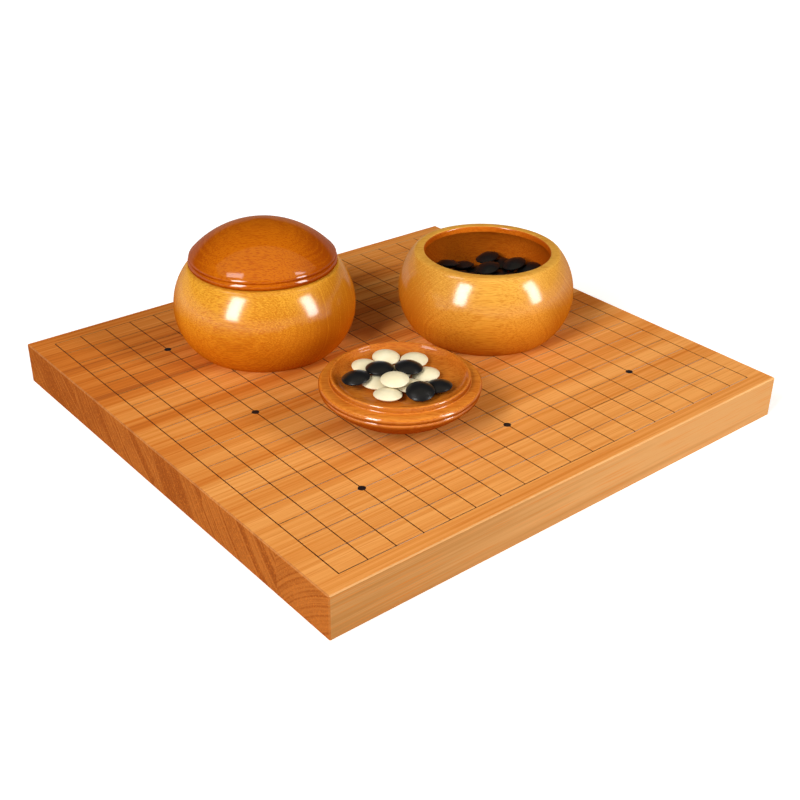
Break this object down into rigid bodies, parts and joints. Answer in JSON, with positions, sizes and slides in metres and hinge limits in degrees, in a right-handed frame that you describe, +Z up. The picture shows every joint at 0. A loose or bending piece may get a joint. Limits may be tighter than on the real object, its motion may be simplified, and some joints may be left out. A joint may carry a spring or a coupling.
{
  "type": "go board set",
  "caption": "Go set on a thick edge-glued wooden board with an engraved grid, two turned lidded bowls and double-convex stones",
  "frame": {"origin": "centre of the board's underside, on the surface that it lies on", "axes": "+X along the board's long side and its grain, +Y across the staves towards the closed bowl, +Z up"},
  "size_m": [0.47, 0.446, 0.1468],
  "materials": {
    "board_wood": "satin clear lacquer over straight-grained orange-brown wood",
    "line_lacquer": "dark brown lacquer in the engraved lines",
    "star_lacquer": "black lacquer dots",
    "bowl_wood": "glossy amber lacquer over flecked turned wood",
    "white_stone": "ivory white, satin",
    "black_stone": "black, soft satin"
  },
  "bodies": {
    "board": {"board_stave_1": "board_wood", "board_stave_2": "board_wood", "board_stave_3": "board_wood", "board_stave_4": "board_wood", "board_stave_5": "board_wood", "board_stave_6": "board_wood", "lines_along_grain": "line_lacquer", "lines_across_grain": "line_lacquer", "star_points": "star_lacquer"},
    "closed_bowl": {"white_bowl": "bowl_wood", "white_stones_in_bowl": "white_stone"},
    "closed_lid": {"white_bowl_lid": "bowl_wood"},
    "open_bowl": {"black_bowl": "bowl_wood", "black_stones_in_bowl": "black_stone"},
    "dish_lid": {"upturned_lid": "bowl_wood", "tray_white_stone_3": "white_stone", "tray_white_stone_4": "white_stone", "tray_white_stone_5": "white_stone", "tray_white_stone_6": "white_stone", "tray_white_stone_7": "white_stone", "tray_white_stone_8": "white_stone", "tray_black_stone_1": "black_stone"},
    "loose_white_stone_1": {"tray_white_stone_1": "white_stone"},
    "loose_white_stone_2": {"tray_white_stone_2": "white_stone"},
    "loose_white_stone_9": {"tray_white_stone_9": "white_stone"},
    "loose_black_stone_2": {"tray_black_stone_2": "black_stone"},
    "loose_black_stone_3": {"tray_black_stone_3": "black_stone"},
    "loose_black_stone_4": {"tray_black_stone_4": "black_stone"},
    "loose_black_stone_5": {"tray_black_stone_5": "black_stone"}
  },
  "joints": [
    {"name": "closed_bowl_lift", "type": "slide", "parent": "board", "child": "closed_bowl", "axis": [0, 0, 1], "range_m": [0, 0.15]},
    {"name": "closed_lid_lift", "type": "slide", "parent": "closed_bowl", "child": "closed_lid", "axis": [0, 0, 1], "range_m": [0, 0.08]},
    {"name": "open_bowl_lift", "type": "slide", "parent": "board", "child": "open_bowl", "axis": [0, 0, 1], "range_m": [0, 0.15]},
    {"name": "dish_lid_lift", "type": "slide", "parent": "board", "child": "dish_lid", "axis": [0, 0, 1], "range_m": [0, 0.15]},
    {"name": "loose_white_stone_1_lift", "type": "slide", "parent": "dish_lid", "child": "loose_white_stone_1", "axis": [0, 0, 1], "range_m": [0, 0.06]},
    {"name": "loose_white_stone_2_lift", "type": "slide", "parent": "dish_lid", "child": "loose_white_stone_2", "axis": [0, 0, 1], "range_m": [0, 0.06]},
    {"name": "loose_white_stone_9_lift", "type": "slide", "parent": "dish_lid", "child": "loose_white_stone_9", "axis": [0, 0, 1], "range_m": [0, 0.06]},
    {"name": "loose_black_stone_2_lift", "type": "slide", "parent": "dish_lid", "child": "loose_black_stone_2", "axis": [0, 0, 1], "range_m": [0, 0.06]},
    {"name": "loose_black_stone_3_lift", "type": "slide", "parent": "dish_lid", "child": "loose_black_stone_3", "axis": [0, 0, 1], "range_m": [0, 0.06]},
    {"name": "loose_black_stone_4_lift", "type": "slide", "parent": "dish_lid", "child": "loose_black_stone_4", "axis": [0, 0, 1], "range_m": [0, 0.06]},
    {"name": "loose_black_stone_5_lift", "type": "slide", "parent": "dish_lid", "child": "loose_black_stone_5", "axis": [0, 0, 1], "range_m": [0, 0.06]}
  ]
}
